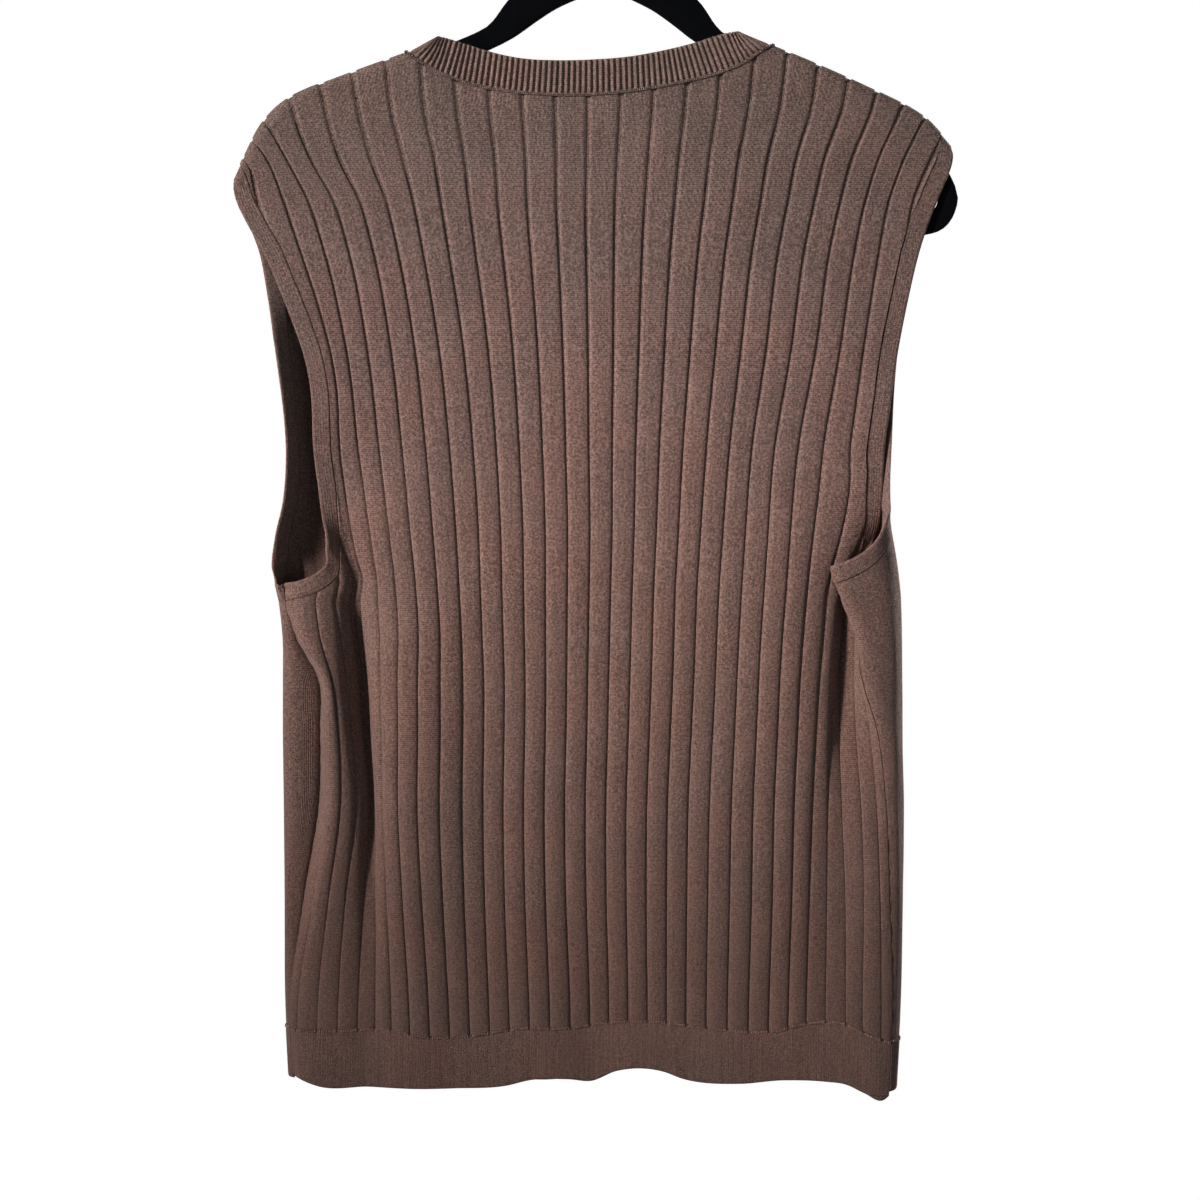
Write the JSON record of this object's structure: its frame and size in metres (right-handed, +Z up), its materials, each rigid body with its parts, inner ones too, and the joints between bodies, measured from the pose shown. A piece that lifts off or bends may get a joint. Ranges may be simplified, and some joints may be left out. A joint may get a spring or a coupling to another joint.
{
  "type": "knitted sweater vest on a clothes hanger",
  "caption": "Sleeveless knitted sweater vest with wide flat ribs, V neck, banded armholes and ribbed hem, hung on a thin velvet hanger with a wire hook.",
  "frame": {"origin": "where a rail touches the inside of the top of the hanger's hook", "axes": "+Z up, -Y out of the vest's back, which is the side in the picture, +Y out of its front, +X to the right as the back is looked at"},
  "size_m": [0.4586, 0.0418, 0.7898],
  "materials": {
    "knit": "matt fine-gauge knit, taupe brown",
    "velvet": "black flocked velvet",
    "steel": "polished plated wire"
  },
  "bodies": {
    "root": {"back_panel": "knit", "front_panel": "knit", "neckband": "knit", "armhole_band_left": "knit", "armhole_band_right": "knit", "hem_band_back": "knit", "hem_band_front": "knit", "hanger_body": "velvet", "hanger_collar": "steel", "hanger_hook": "steel"}
  },
  "joints": []
}
